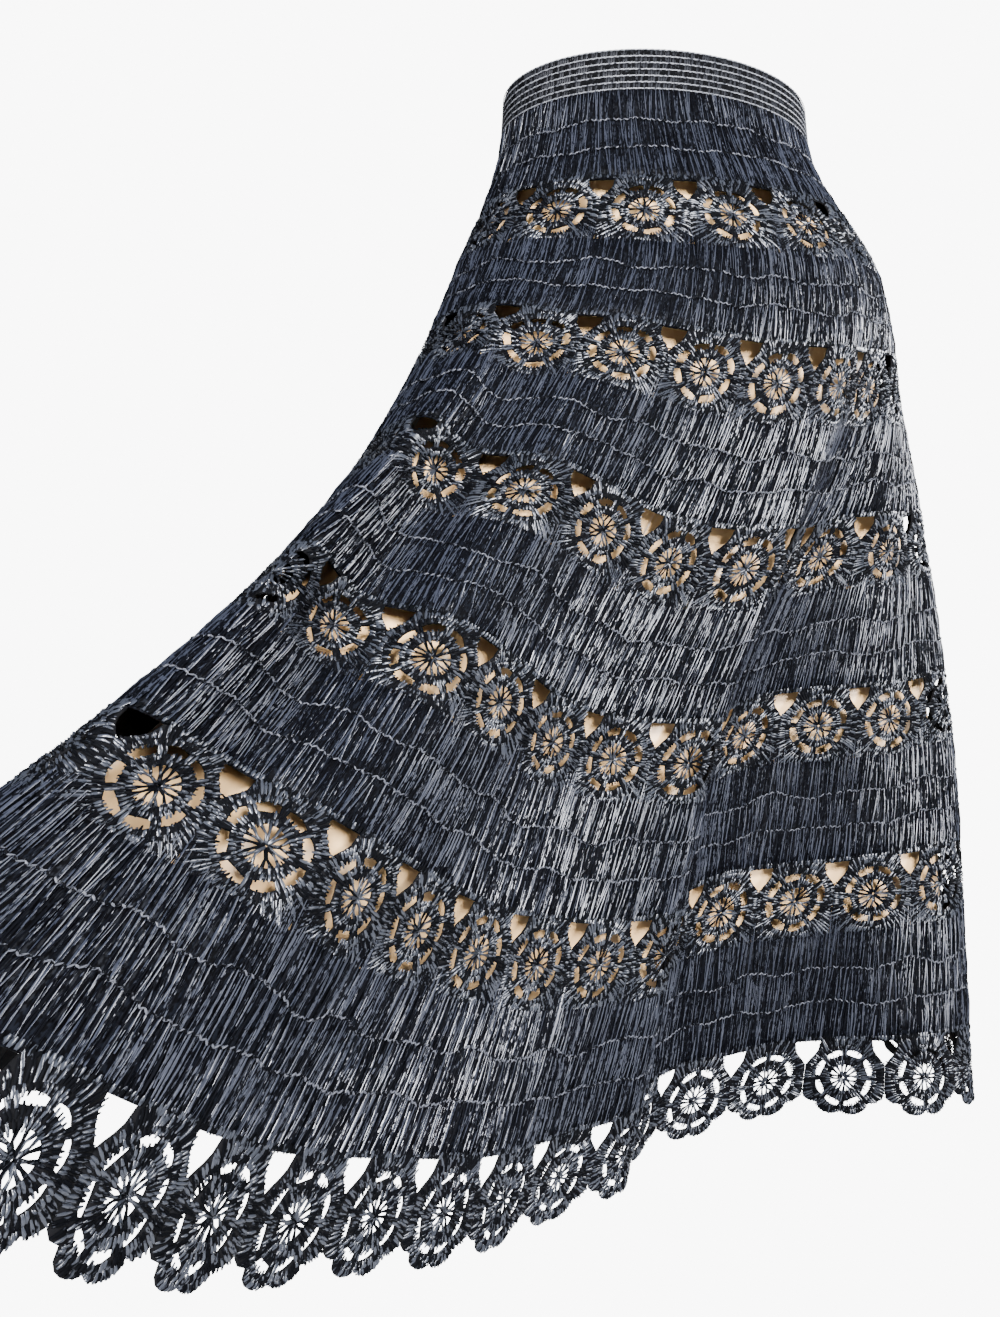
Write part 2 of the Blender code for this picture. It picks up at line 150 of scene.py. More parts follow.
def middle_of_cloth(share, drop):
    """The middle of the cloth's thickness at shares and drops, as rows of x, y, z."""
    level = np.ones_like(share)
    waist_x, waist_y = oval(WAIST_OVAL, share)
    hip_x, hip_y = oval(HIP_OVAL, share)
    side = np.cos(2 * np.pi * share) ** 2
    hip_z = HIP_SIDE_RISE * side - HIP_HANG * (HIP_DROP - WAISTBAND_HEIGHT / 2)
    top = np.stack([waist_x, waist_y, level * WAISTBAND_HEIGHT / 2])
    hip = np.stack([hip_x, hip_y, hip_z])
    under_x = waist_x + WAIST_EASE * (hip_x - waist_x)
    under_y = waist_y + WAIST_EASE * (hip_y - waist_y)
    under_band = np.stack([under_x, under_y, -level * WAISTBAND_HEIGHT / 2])
    middle = np.stack([round_the_folds(f"mid_{axis}", share) for axis in "xyz"])
    low = np.stack([round_the_folds(f"low_{axis}", share) for axis in "xyz"])
    hem = low + (low - middle) * (HEM_DROP - LOW_DROP) / (LOW_DROP - MID_DROP)

    knots = np.array([0, WAISTBAND_HEIGHT, HIP_DROP, MID_DROP, LOW_DROP, HEM_DROP])
    value = np.stack([top, under_band, hip, middle, low, hem])
    slope = np.gradient(value, knots, axis=0)
    slope[0] = (under_band - top) / WAISTBAND_HEIGHT
    slope[1] = (slope[0] + slope[1]) / 2
    row = np.clip(np.searchsorted(knots, drop, side="right") - 1, 0, len(knots) - 2)
    span = knots[row + 1] - knots[row]
    t = (drop - knots[row]) / span
    here = np.arange(len(share))
    ends = value[row, :, here].T, value[row + 1, :, here].T
    slopes = slope[row, :, here].T, slope[row + 1, :, here].T
    return hermite(t, span, *ends, *slopes).T


def cloth(share, drop, out):
    """Points of the cloth moved out from its middle, away from the lining."""
    share, drop, out = np.broadcast_arrays(
        np.asarray(share, float), np.asarray(drop, float), np.asarray(out, float)
    )
    share, drop, out = share.ravel(), drop.ravel(), out.ravel()
    step = 1e-4
    here = middle_of_cloth(share, drop)
    forward = middle_of_cloth(share + step, drop) - middle_of_cloth(share - step, drop)
    down = middle_of_cloth(share, drop + step) - middle_of_cloth(share, drop - step)
    normal = np.cross(forward, down)
    normal /= np.linalg.norm(normal, axis=1)[:, None]
    return here + normal * out[:, None]


class Round:
    """The way round the cloth at one drop, which turns a distance across the cloth into a share of the
    whole round, and back."""

    def __init__(self, drop):
        self.fine = np.linspace(0, 1, 2001)
        ring = middle_of_cloth(self.fine, np.full_like(self.fine, drop))
        steps = np.linalg.norm(np.diff(ring, axis=0), axis=1)
        self.across = np.concatenate([[0], np.cumsum(steps)])
        self.length = self.across[-1]

    def share(self, across):
        turns = np.floor(across / self.length)
        return turns + np.interp(across - turns * self.length, self.across, self.fine)

    def distance(self, share):
        turns = np.floor(share)
        return turns * self.length + np.interp(share - turns, self.fine, self.across)


def grid_unit(columns, rows):
    """A flat grid's points, from -1 to 1 across and 0 to 1 along, and its faces."""
    work = bmesh.new()
    bmesh.ops.create_grid(work, x_segments=columns, y_segments=rows, size=1)
    points = np.array([vert.co[:2] for vert in work.verts])
    faces = np.array([[vert.index for vert in face.verts] for face in work.faces])
    work.free()
    points[:, 1] = (points[:, 1] + 1) / 2
    return points, faces


def piece(name, points, faces, finish, tone=None, place=None):
    """A mesh object from arrays. tone is one number a point, and place the point's own UV."""
    mesh = bpy.data.meshes.new(name)
    corners = faces.shape[1]
    mesh.vertices.add(len(points))
    mesh.vertices.foreach_set("co", points.astype(np.float32).ravel())
    mesh.loops.add(faces.size)
    mesh.loops.foreach_set("vertex_index", faces.astype(np.int32).ravel())
    mesh.polygons.add(len(faces))
    mesh.polygons.foreach_set("loop_start", np.arange(0, faces.size, corners, dtype=np.int32))
    mesh.update(calc_edges=True)
    if tone is not None:
        layer = mesh.attributes.new("tone", "FLOAT", "POINT")
        layer.data.foreach_set("value", tone.astype(np.float32).ravel())
    if place is not None:
        layer = mesh.uv_layers.new(name="place")
        layer.data.foreach_set("uv", place[faces.ravel()].astype(np.float32).ravel())
    mesh.shade_smooth()
    mesh.materials.append(finish)
    made = bpy.data.objects.new(name, mesh)
    bpy.context.scene.collection.objects.link(made)
    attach(made, "root")
    return made


# A strand's faces across and along, how much it narrows towards its ends, and how far its UV is moved
# on from the last strand's, so that no two look alike.
STRAND_GRID = (2, 2)
STRAND_TAPER = 0.45
STRAND_UV_STEP = 1.37


def laid_stitches(name, way, start, end, finish, tone, width, rise, out, bulge=0.0, roll=0.0):
    """Arched strands of raffia laid on the cloth, each from a start to an end given as the distance
    across and the drop. rise is the arch across a strand, out its height over the middle of the cloth,
    bulge its lift between its ends, and roll how much higher one side of it lies."""
    unit, faces = grid_unit(*STRAND_GRID)
    count = len(start)
    spread = [np.broadcast_to(value, count)[:, None] for value in (width, rise, out, bulge, roll)]
    width, rise, out, bulge, roll = spread
    side, along = unit[:, 0][None], unit[:, 1][None]
    line = end - start
    across_line = np.stack([line[:, 1], -line[:, 0]], axis=1)
    across_line /= np.linalg.norm(line, axis=1)[:, None]
    taper = 1 - STRAND_TAPER * np.abs(2 * along - 1) ** 3
    middle = start[:, None] + along[..., None] * line[:, None]
    flat = middle + (side * width / 2 * taper)[..., None] * across_line[:, None]
    lift = out + rise * taper * (1 - side**2) + bulge * 4 * along * (1 - along) + roll * side
    points = cloth(way.share(flat[..., 0]), flat[..., 1], lift)
    joined = (faces[None] + len(unit) * np.arange(count)[:, None, None]).reshape(-1, 4)
    place = np.stack(
        [
            np.broadcast_to(side / 2 + 0.5, lift.shape) + STRAND_UV_STEP * np.arange(count)[:, None],
            along * np.linalg.norm(line, axis=1)[:, None] * 1000,
        ],
        axis=-1,
    ).reshape(-1, 2)
    tones = np.broadcast_to(np.asarray(tone, float).reshape(-1, 1), lift.shape)
    return piece(name, points, joined, finish, tones, place)


class Wire:
    """A socket in a material, so that shader maths reads as plain expressions."""

    def __init__(self, tree, socket=None):
        self.tree, self.socket = tree, socket

    def node(self, kind, settings=None, values=None, output=0):
        made = self.tree.nodes.new(kind)
        for name, value in (settings or {}).items():
            setattr(made, name, value)
        for name, value in (values or {}).items():
            if isinstance(value, Wire):
                self.tree.links.new(value.socket, made.inputs[name])
            else:
                made.inputs[name].default_value = value
        return Wire(self.tree, made.outputs[output])

    def maths(self, operation, *values):
        return self.node("ShaderNodeMath", {"operation": operation}, dict(enumerate(values)))

    def __add__(self, other):
        return self.maths("ADD", self, other)

    def __mul__(self, other):
        return self.maths("MULTIPLY", self, other)

    def smooth(self, low, high):
        limits = {"Value": self, "From Min": low, "From Max": high}
        settings = {"interpolation_type": "SMOOTHSTEP"}
        return self.node("ShaderNodeMapRange", settings, limits)

    def noise(self, vector, scale, detail=2.0, stretch=(1, 1, 1)):
        scaled = self.node(
            "ShaderNodeMapping", {"vector_type": "POINT"}, {"Vector": vector, "Scale": stretch}
        )
        return self.node("ShaderNodeTexNoise", {}, {"Vector": scaled, "Scale": scale, "Detail": detail})

    def blend(self, factor, first, second):
        """A mix of two colours, which a Mix node takes in its sockets 6 and 7 and gives at output 2."""
        settings = {"data_type": "RGBA", "blend_type": "MIX"}
        ends = {6: (*first, 1.0), 7: (*second, 1.0)}
        return self.node("ShaderNodeMix", settings, {0: factor, **ends}, output=2)


def finish_for(name, **constants):
    """A material, its root wire and a function that links values into its shader."""
    made = bpy.data.materials.new(name)
    made.use_nodes = True
    shader = made.node_tree.nodes["Principled BSDF"]
    for socket, value in constants.items():
        shader.inputs[socket.replace("_", " ")].default_value = value

    def feed(socket, wire):
        made.node_tree.links.new(wire.socket, shader.inputs[socket])

    return made, Wire(made.node_tree), feed


# Raffia's dull body, and the shine of its skin: the noise is stretched along the strands, in strand
# widths across and millimetres down.
BODY = {"Roughness": 0.7, "Specular_IOR_Level": 0.03}
STREAK_LENGTH_SCALE = 0.16
PATCH_STRETCH = (0.5, 0.35, 1.0)
TONE_SHARE, STREAK_SHARE, PATCH_SHARE = 0.5, 0.7, 0.8
SHINE_STARTS, SHINE_FULL = 0.95, 1.10


def raffia(name, dark, light, roughness, streaks, gloss=1.0):
    """Raffia yarn: a dull dark strand whose glossy skin shows in streaks along it. Its colour is
    lighter in these same streaks: partly a lighter tone that differs at random, partly a painted sheen.
    streaks is how many cross a strand, and gloss the shine of the brightest."""
    made, root, feed = finish_for(name, Coat_Roughness=roughness, **BODY)
    tone = root.node("ShaderNodeAttribute", {"attribute_name": "tone"}, output="Fac")
    place = root.node("ShaderNodeUVMap", {"uv_map": "place"})
    folds = root.noise(place, 1.0, 1.0, (streaks, STREAK_LENGTH_SCALE, 1.0))
    patches = root.noise(place, 1.0, 2.0, PATCH_STRETCH)
    shine_and_painted_sheen = tone * TONE_SHARE + folds * STREAK_SHARE + patches * PATCH_SHARE
    shine_and_painted_sheen = shine_and_painted_sheen.smooth(SHINE_STARTS, SHINE_FULL)
    # The colour is lighter where the skin shines: partly a lighter tone at random, partly a painted sheen.
    feed("Base Color", root.blend(shine_and_painted_sheen, dark, light))
    feed("Coat Weight", shine_and_painted_sheen * gloss)
    bump = {"Strength": 0.4, "Distance": 0.0004, "Height": folds}
    feed("Normal", root.node("ShaderNodeBump", {}, bump))
    return made


# One raffia in lit and shaded copies: the raised cords get a lighter colour, a painted highlight, and the
# upright stitches in the grooves between them a near-black one, a painted shade.
band_cord_painted_highlight_finish = raffia(
    "band cord raffia painted highlight", (0.02, 0.021, 0.024), (0.10, 0.103, 0.112), roughness=0.40, streaks=1.4, gloss=0.45
)
band_stitch_painted_shade_finish = raffia(
    "band stitch raffia painted shade", (0.0004, 0.0005, 0.0007), (0.006, 0.0065, 0.008),
    roughness=0.40, streaks=1.4, gloss=0.15,
)
# The ground under the waistband's stitches and the medallions' stitches is near-black and dull: a painted
# shade for the gaps between the stitches.
ground_painted_shade_finish, ground, feed_ground = finish_for("raffia ground painted shade", Roughness=0.9, Specular_IOR_Level=0.1)
ground_place = ground.node("ShaderNodeTexCoord", output="Object")
ground_grain = ground.noise(ground_place, 600.0, 2.0)
feed_ground("Base Color", ground.blend(ground_grain, (0.0003, 0.0003, 0.0005), (0.001, 0.001, 0.0015)))

chance = np.random.default_rng(11)
waist = Round(WAISTBAND_HEIGHT / 2)
# The width of a strand in the ground under the laid strands.
GROUND_STRAND = 0.0011


def thicken(made, thickness):
    """Gives a thin sheet its thickness, on its inner side."""
    shell = made.modifiers.new("thickness", "SOLIDIFY")
    shell.thickness = thickness
    shell.offset = -1.0


def ring_sheet(name, way, top, bottom, columns, rows, out, thickness, finish):
    """A thin sheet of cloth that goes all round. Its UV counts strands across and millimetres down."""
    unit, faces = grid_unit(columns, rows)
    across = (unit[:, 0] + 1) / 2 * way.length
    drop = top + unit[:, 1] * (bottom - top)
    place = np.stack([across / GROUND_STRAND, drop * 1000], 1)
    made = piece(name, cloth(way.share(across), drop, out), faces, finish, np.full(len(drop), 0.5), place)
    work = bmesh.new()
    work.from_mesh(made.data)
    bmesh.ops.remove_doubles(work, verts=work.verts, dist=1e-5)
    work.to_mesh(made.data)
    work.free()
    thicken(made, thickness)
    return made


# The waistband's ground carries the near-black painted shade that shows between its cords and stitches.
band_ground = ring_sheet(
    "waistband_ground", waist, 0.0, WAISTBAND_HEIGHT,
    columns=160, rows=6, out=0.0006, thickness=0.0018, finish=ground_painted_shade_finish,
)
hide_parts("waistband")
BAND_CORDS = 7
# How far the first and last cords lie inside the band's edges, the step and reach of the stitches that
# make a cord, and how far each of these climbs and leans.
CORD_INSET = 0.0008
CORD_STEP = 0.0022
CORD_REACH = CORD_STEP * 1.35
CORD_CLIMB = 0.0002
CORD_LEAN = 0.0002
# The upright stitches between the cords: their step, their lean, and their clearance of each cord.
UPRIGHT_STEP = 0.0018
UPRIGHT_LEAN = 0.0006
UPRIGHT_CLEAR = 0.0004
cord_spacing = (WAISTBAND_HEIGHT - 2 * CORD_INSET) / (BAND_CORDS - 1)
cords, uprights = [], []
for cord in range(BAND_CORDS):
    level = CORD_INSET + cord * cord_spacing
    count = int(waist.length / CORD_STEP)
    at = np.arange(count) / count * waist.length
    lean = CORD_LEAN * (-1) ** np.arange(count)
    cords.append(np.stack([at, level - CORD_CLIMB + 0 * at, at + CORD_REACH, level + CORD_CLIMB + lean], 1))
    if cord:
        count = int(waist.length / UPRIGHT_STEP)
        at = np.arange(count) / count * waist.length
        top = level - cord_spacing + UPRIGHT_CLEAR
        foot = level - UPRIGHT_CLEAR
        uprights.append(np.stack([at, top + 0 * at, at + UPRIGHT_LEAN, foot + 0 * at], 1))
cords, uprights = np.concatenate(cords), np.concatenate(uprights)
band_cords = laid_stitches(
    "waistband_cords", waist, cords[:, :2], cords[:, 2:], band_cord_painted_highlight_finish,
    tone=chance.uniform(0.6, 1.0, len(cords)), width=0.0011, rise=0.0007, out=0.0012,
)
band_uprights = laid_stitches(
    "waistband_upright_stitches", waist, uprights[:, :2], uprights[:, 2:], band_stitch_painted_shade_finish,
    tone=chance.random(len(uprights)), width=0.0018, rise=0.0006, out=0.0007,
)

# ---- Tiers
# Each tier is three rows of long upright stitches, made of flat glossy raffia. Two chain lines part
# the rows, and the lowest row ends in an edging that the lace below is worked into.

ROWS_PER_TIER = 3
# The long stitches: their step and middling width, how unevenly they are set, how far their feet stray,
# how far all of them sway together, by what turn from one to the next, and how far they reach past their
# row at each end.
STRAND_STEP = 0.00090
STRAND_WIDTH = 0.00088
STRAND_UNEVEN = 0.25
FOOT_STRAY = 0.0017
FOOT_SWAY = 0.0012
SWAY_TURN = 0.021
STRAND_OVERLAP = 0.0006
# The stitches of a chain line, as their step, reach and lean, and those of the edging.
CHAIN_STEP = 0.0020
CHAIN_REACH = CHAIN_STEP * 1.1
CHAIN_LEAN = 0.0008
EDGING_STEP = 0.0023
EDGING_HEIGHT = 0.0030
EDGING_OVERLAP = 0.0008
# The waves of a tier's lines, as height and spacing, how much of them its edges show, and how far its two
# chain lines echo the medallions above them.
LINE_WAVES = [
    (0.0011, 0.090),
    (0.0008, 0.041),
    (0.0005, 0.018),
]
EDGE_WAVE_SHARE = 0.25
ECHOES = (0.0024, 0.0012)
# How far below a lace band's top edge its medallions have their centres and part at their flanks, their
# radius, and how far the tier below reaches up under them.
CENTRE_DOWN = 0.0305
FLANKS_PART = 0.0440
MEDALLION_RADIUS = 0.0290
UNDER_MEDALLIONS = 0.0016
GROUND_COLUMN = 0.006
# The ground of each tier is near-black with hardly any shine: a painted shade for the gaps between the long
# stitches.
under_painted_shade_finish = raffia(
    "under strand raffia painted shade", (0.0003, 0.0003, 0.0006), (0.002, 0.0025, 0.004),
    roughness=0.40, streaks=1.0, gloss=0.04,
)
strand_finish = raffia(
    "long stitch raffia", (0.0006, 0.0007, 0.0013), (0.012, 0.014, 0.021), roughness=0.29, streaks=2.6
)
# The chain lines are lighter than the long stitches and nearly dull: a painted silvery sheen that shows
# where the long stitches get no glint.
chain_painted_sheen_finish = raffia(
    "chain line raffia painted sheen", (0.0006, 0.0007, 0.0011), (0.040, 0.042, 0.050),
    roughness=0.36, streaks=1.2, gloss=0.35,
)
edging_finish = raffia(
    "edging raffia", (0.0005, 0.0006, 0.0009), (0.014, 0.016, 0.021),
    roughness=0.28, streaks=2.2, gloss=0.9,
)


def medallion_offset(number, share):
    """How far each share is from the nearest medallion's centre in a lace band, in metres, and the
    distance from one centre to the next."""
    _, count, shift = TIERS[number - 1]
    way = Round(SEAMS[2 * number] + LACE_HEIGHT / 2)
    pitch = way.length / count
    cell = way.distance(share) / pitch - shift
    return (cell - np.floor(cell) - 0.5) * pitch, pitch


def row_line(number, line, way, across):
    """The drop of a tier's line: 0 is its top edge, then its chain lines, and 3 its lower edge."""
    top, bottom = SEAMS[2 * number - 1], SEAMS[2 * number]
    drop = top + (bottom - top) * line / ROWS_PER_TIER
    phases = np.random.default_rng(100 * number + line).random(3) * 2 * np.pi
    part = across / way.length * 2 * np.pi
    waves = 0.0
    for (size, spacing), phase in zip(LINE_WAVES, phases):
        waves = waves + size * np.sin(part * round(way.length / spacing) + phase)
    if line in (0, ROWS_PER_TIER):
        waves = EDGE_WAVE_SHARE * waves
    echo = 0.0
    if number > 1 and line in (1, 2):
        offset, pitch = medallion_offset(number - 1, way.share(across) % 1)
        echo = ECHOES[line - 1] * np.cos(2 * np.pi * offset / pitch)
    return drop + waves + echo


def under_scallops(number, share):
    """The drop at which the rounded foot of the lace above a tier ends."""
    offset, _ = medallion_offset(number - 1, share % 1)
    reach = np.sqrt(np.clip(MEDALLION_RADIUS**2 - offset**2, 0, None))
    foot = np.maximum(FLANKS_PART, CENTRE_DOWN + reach - UNDER_MEDALLIONS)
    return SEAMS[2 * number - 2] + foot


for number in range(1, len(TIERS) + 1):
    top, bottom = SEAMS[2 * number - 1], SEAMS[2 * number]
    way = Round((top + bottom) / 2)
    lower = bottom + EDGING_HEIGHT
    ground_sheet = ring_sheet(
        f"tier_{number}_ground", way, top, lower,
        columns=int(way.length / GROUND_COLUMN), rows=6, out=0.0003, thickness=0.0008, finish=under_painted_shade_finish,
    )
    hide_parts(f"tier_{number}")
    starts, ends = [], []
    for row in range(ROWS_PER_TIER):
        count = int(way.length / STRAND_STEP)
        at = (np.arange(count) + chance.normal(0, STRAND_UNEVEN, count)) / count * way.length
        sway = FOOT_SWAY * np.sin(np.arange(count) * SWAY_TURN)
        foot = at + chance.normal(0, FOOT_STRAY, count) + sway
        begin = row_line(number, row, way, at)
        if row == 0 and number > 1:
            begin = under_scallops(number, way.share(at))
        # Every third strand starts lower in its row, and every third one ends higher.
        first = np.where(np.arange(count) % 3 == 2, chance.uniform(0.15, 0.40, count), 0.0)
        last = np.where(np.arange(count) % 3 == 1, chance.uniform(0.65, 0.90, count), 1.0)
        span = row_line(number, row + 1, way, foot) - begin
        starts.append(np.stack([at + first * (foot - at), begin + first * span - STRAND_OVERLAP], 1))
        ends.append(np.stack([at + last * (foot - at), begin + last * span + STRAND_OVERLAP], 1))
    starts, ends = np.concatenate(starts), np.concatenate(ends)
    count = len(starts)
    width = STRAND_WIDTH * chance.uniform(0.6, 1.3, count)
    rise = chance.uniform(0.0004, 0.0009, count)
    out = chance.uniform(0.0004, 0.0016, count)
    tone = chance.random(count)
    bulge = chance.uniform(-0.0001, 0.0006, count)
    roll = chance.normal(0.0, 0.0002, count)
    strands = laid_stitches(
        f"tier_{number}_long_stitches", way, starts, ends, strand_finish, tone, width, rise, out, bulge, roll
    )
    starts, ends = [], []
    for line in (1, 2):
        count = int(way.length / CHAIN_STEP)
        at = np.arange(count) / count * way.length
        next_at = at + CHAIN_REACH
        lean = CHAIN_LEAN * (-1) ** np.arange(count)
        starts.append(np.stack([at, row_line(number, line, way, at) - lean], 1))
        ends.append(np.stack([next_at, row_line(number, line, way, next_at) + lean], 1))
    starts, ends = np.concatenate(starts), np.concatenate(ends)
    chains = laid_stitches(
        f"tier_{number}_chain_lines", way, starts, ends, chain_painted_sheen_finish,
        tone=chance.uniform(0.2, 1.0, len(starts)), width=0.0010, rise=0.0009, out=0.0016,
    )
    count = int(way.length / EDGING_STEP)
    at = np.arange(count) / count * way.length
    slant = chance.normal(0.0004, 0.0004, count)
    starts = np.stack([at, bottom - EDGING_OVERLAP + 0 * at], 1)
    ends = np.stack([at + slant, lower + chance.normal(0, 0.0002, count)], 1)
    edging = laid_stitches(
        f"tier_{number}_edging", way, starts, ends, edging_finish,
        tone=chance.random(count), width=0.0020, rise=0.0009, out=0.0010,
    )
    lower - top

# ---- Lace bands
# A row of round medallions, crocheted one by one in raffia and joined at their sides and to the tier
# above. Spokes cross each eye, eight arched openings part the inner ring from the outer one, and the
# hem's have a scalloped foot.

# The shield-shaped gap between two medallions. Columns: how far below the band's top edge, and the gap's
# half width there, in medallions.
GAP_OUTLINE = [
    (0.0026, 0.165),
    (0.0110, 0.140),
    (0.0190, 0.020),
]
# The radii of a medallion: the edge of its eye, the line between its two inner rounds, the inner and
# outer edges of its openings, and the line between its two outer rounds.
RING_RADII = (0.0110, 0.0137, 0.0163, 0.0224, 0.0256)
HEM_RING_RADII = (0.0098, 0.0130, 0.0166, 0.0214, 0.0240)
# The slits left between neighbours and under the tier above.
JOIN = 0.0001
TOP_JOIN = 0.0012
# The fan-shaped lobes at the foot of a hem medallion: its radius in the notches between them, how far
# they stand out, how blunt they are, how much further those at its sides reach, the angle of the last of
# these from straight down, and how high on a circle of radius 1 the lobes end.
HEM_NOTCH = 0.0240
HEM_LOBE = 0.0040
HEM_BLUNT = 0.6
HEM_SIDE_SPREAD = 0.16
HEM_SIDE_ANGLE = np.radians(67.5)
LOBES_BELOW = -0.25
# A medallion's ground: its sectors and those from one opening to the next, how far it wobbles out of
# round, how far the openings' edges bow, and its place over the middle of the cloth and its thickness.
SECTORS = 40
OPENINGS = 8
OPENING_SECTORS = SECTORS // OPENINGS
WOBBLE = 0.03
PETAL_ROUNDING = 0.0016
LACE_OUT = 0.0006
LACE_THICKNESS = 0.0012
# The shell stitches in each round of a medallion, how far they reach past it, how far at most they stray
# into the openings, and how wide the last round's and the others' are, as a share of their step.
SHELLS = (40, 50, 76, 100)
SHELL_OVERLAP = 0.0001
SHELL_STRAY = 0.0019
SHELL_FILL, LAST_SHELL_FILL = 0.85, 1.0
# The ties between openings, one at each side of what parts them.
TIE_SIDES = (0.1, 0.9)
TIE_OVERLAP = 0.0004
TIE_WIDTH = 0.0019
# Spokes go in pairs that part on their way out. Their half width, the angle that each turns off by and
# how far that strays, how much they bend, how much thinner they are halfway, where they start, and how
# much shorter they are than the eye's radius.
SPOKE_PAIRS = 8
SPOKE_HALF = 0.00088
SPOKE_PARTING = 0.24
SPOKE_STRAY = 0.07
SPOKE_BEND = 0.30
SPOKE_THINNING = 0.3
SPOKE_START = 0.0008
SPOKE_SHORT = 0.0002
crochet_finish = raffia(
    "crochet raffia", (0.0005, 0.0006, 0.0010), (0.014, 0.016, 0.021),
    roughness=0.28, streaks=2.2, gloss=0.9,
)


def outer_radius(angle, pitch, hem):
    """How far a medallion reaches from its centre at an angle, up to its neighbours and the gaps."""
    across, up = np.abs(np.cos(angle)) + 1e-9, np.sin(angle)
    reach = (pitch / 2 - JOIN) / across
    reach = np.where(up > 0, np.minimum(reach, (CENTRE_DOWN - TOP_JOIN) / np.maximum(up, 1e-9)), reach)
    turn = np.arctan2(up, across)
    corners = [np.array([(0.5 - half) * pitch, CENTRE_DOWN - below]) for below, half in GAP_OUTLINE]
    for high, low in zip(corners, corners[1:]):
        edge = low - high
        facing = across * edge[1] - up * edge[0]
        facing = np.where(np.abs(facing) < 1e-9, 1e-9, facing)
        to_edge = (high[0] * edge[1] - high[1] * edge[0]) / facing
        beside = (turn > np.arctan2(low[1], low[0])) & (turn <= np.arctan2(high[1], high[0]))
        reach = np.where(beside, np.minimum(reach, to_edge), reach)
    if hem:
        aside = np.arccos(np.clip(-up, -1, 1))
        lobes = HEM_NOTCH + HEM_LOBE * np.abs(np.sin(OPENINGS / 2 * aside)) ** HEM_BLUNT
        lobes = lobes * (1 + HEM_SIDE_SPREAD * (aside / HEM_SIDE_ANGLE) ** 2)
        return np.where(up < LOBES_BELOW, np.minimum(reach, lobes), reach)
    return np.where(up < 0, np.minimum(reach, (LACE_HEIGHT - CENTRE_DOWN) / np.maximum(-up, 1e-9)), reach)


def medallion_unit():
    """Rings and sectors of one medallion without its arched openings: angles, ring numbers, faces."""
    work = bmesh.new()
    rings = len(RING_RADII)
    bmesh.ops.create_grid(work, x_segments=SECTORS, y_segments=rings, size=1)
    opened = []
    for face in work.faces:
        middle = face.calc_center_median()
        sector = int((middle.x + 1) / 2 * SECTORS)
        ring = int((middle.y + 1) / 2 * rings)
        if ring == 2 and sector % OPENING_SECTORS >= 1:
            opened.append(face)
    bmesh.ops.delete(work, geom=opened, context="FACES")
    for vert in work.verts:
        angle, radius = np.pi * (vert.co.x + 1), 1 + (vert.co.y + 1) / 2 * rings
        vert.co = (radius * np.cos(angle), radius * np.sin(angle), 0)
    bmesh.ops.remove_doubles(work, verts=work.verts, dist=1e-4)
    work.verts.index_update()
    points = np.array([vert.co[:2] for vert in work.verts])
    faces = np.array([[vert.index for vert in face.verts] for face in work.faces])
    work.free()
    ring = np.round(np.hypot(points[:, 0], points[:, 1]) - 1).astype(int)
    return np.arctan2(points[:, 1], points[:, 0]), ring, faces


def bar_unit():
    """A bar with four sides and closed ends: its points as side, height and the part along."""
    work = bmesh.new()
    bmesh.ops.create_cone(work, cap_ends=True, segments=4, radius1=1, radius2=1, depth=1)
    sides = [edge for edge in work.edges if abs(edge.verts[0].co.z - edge.verts[1].co.z) > 0.5]
    bmesh.ops.subdivide_edges(work, edges=sides, cuts=1)
    work.verts.index_update()
    points = np.array([(vert.co.x, vert.co.y, vert.co.z + 0.5) for vert in work.verts])
    faces = np.array([[vert.index for vert in face.verts] for face in work.faces])
    work.free()
    return points, faces


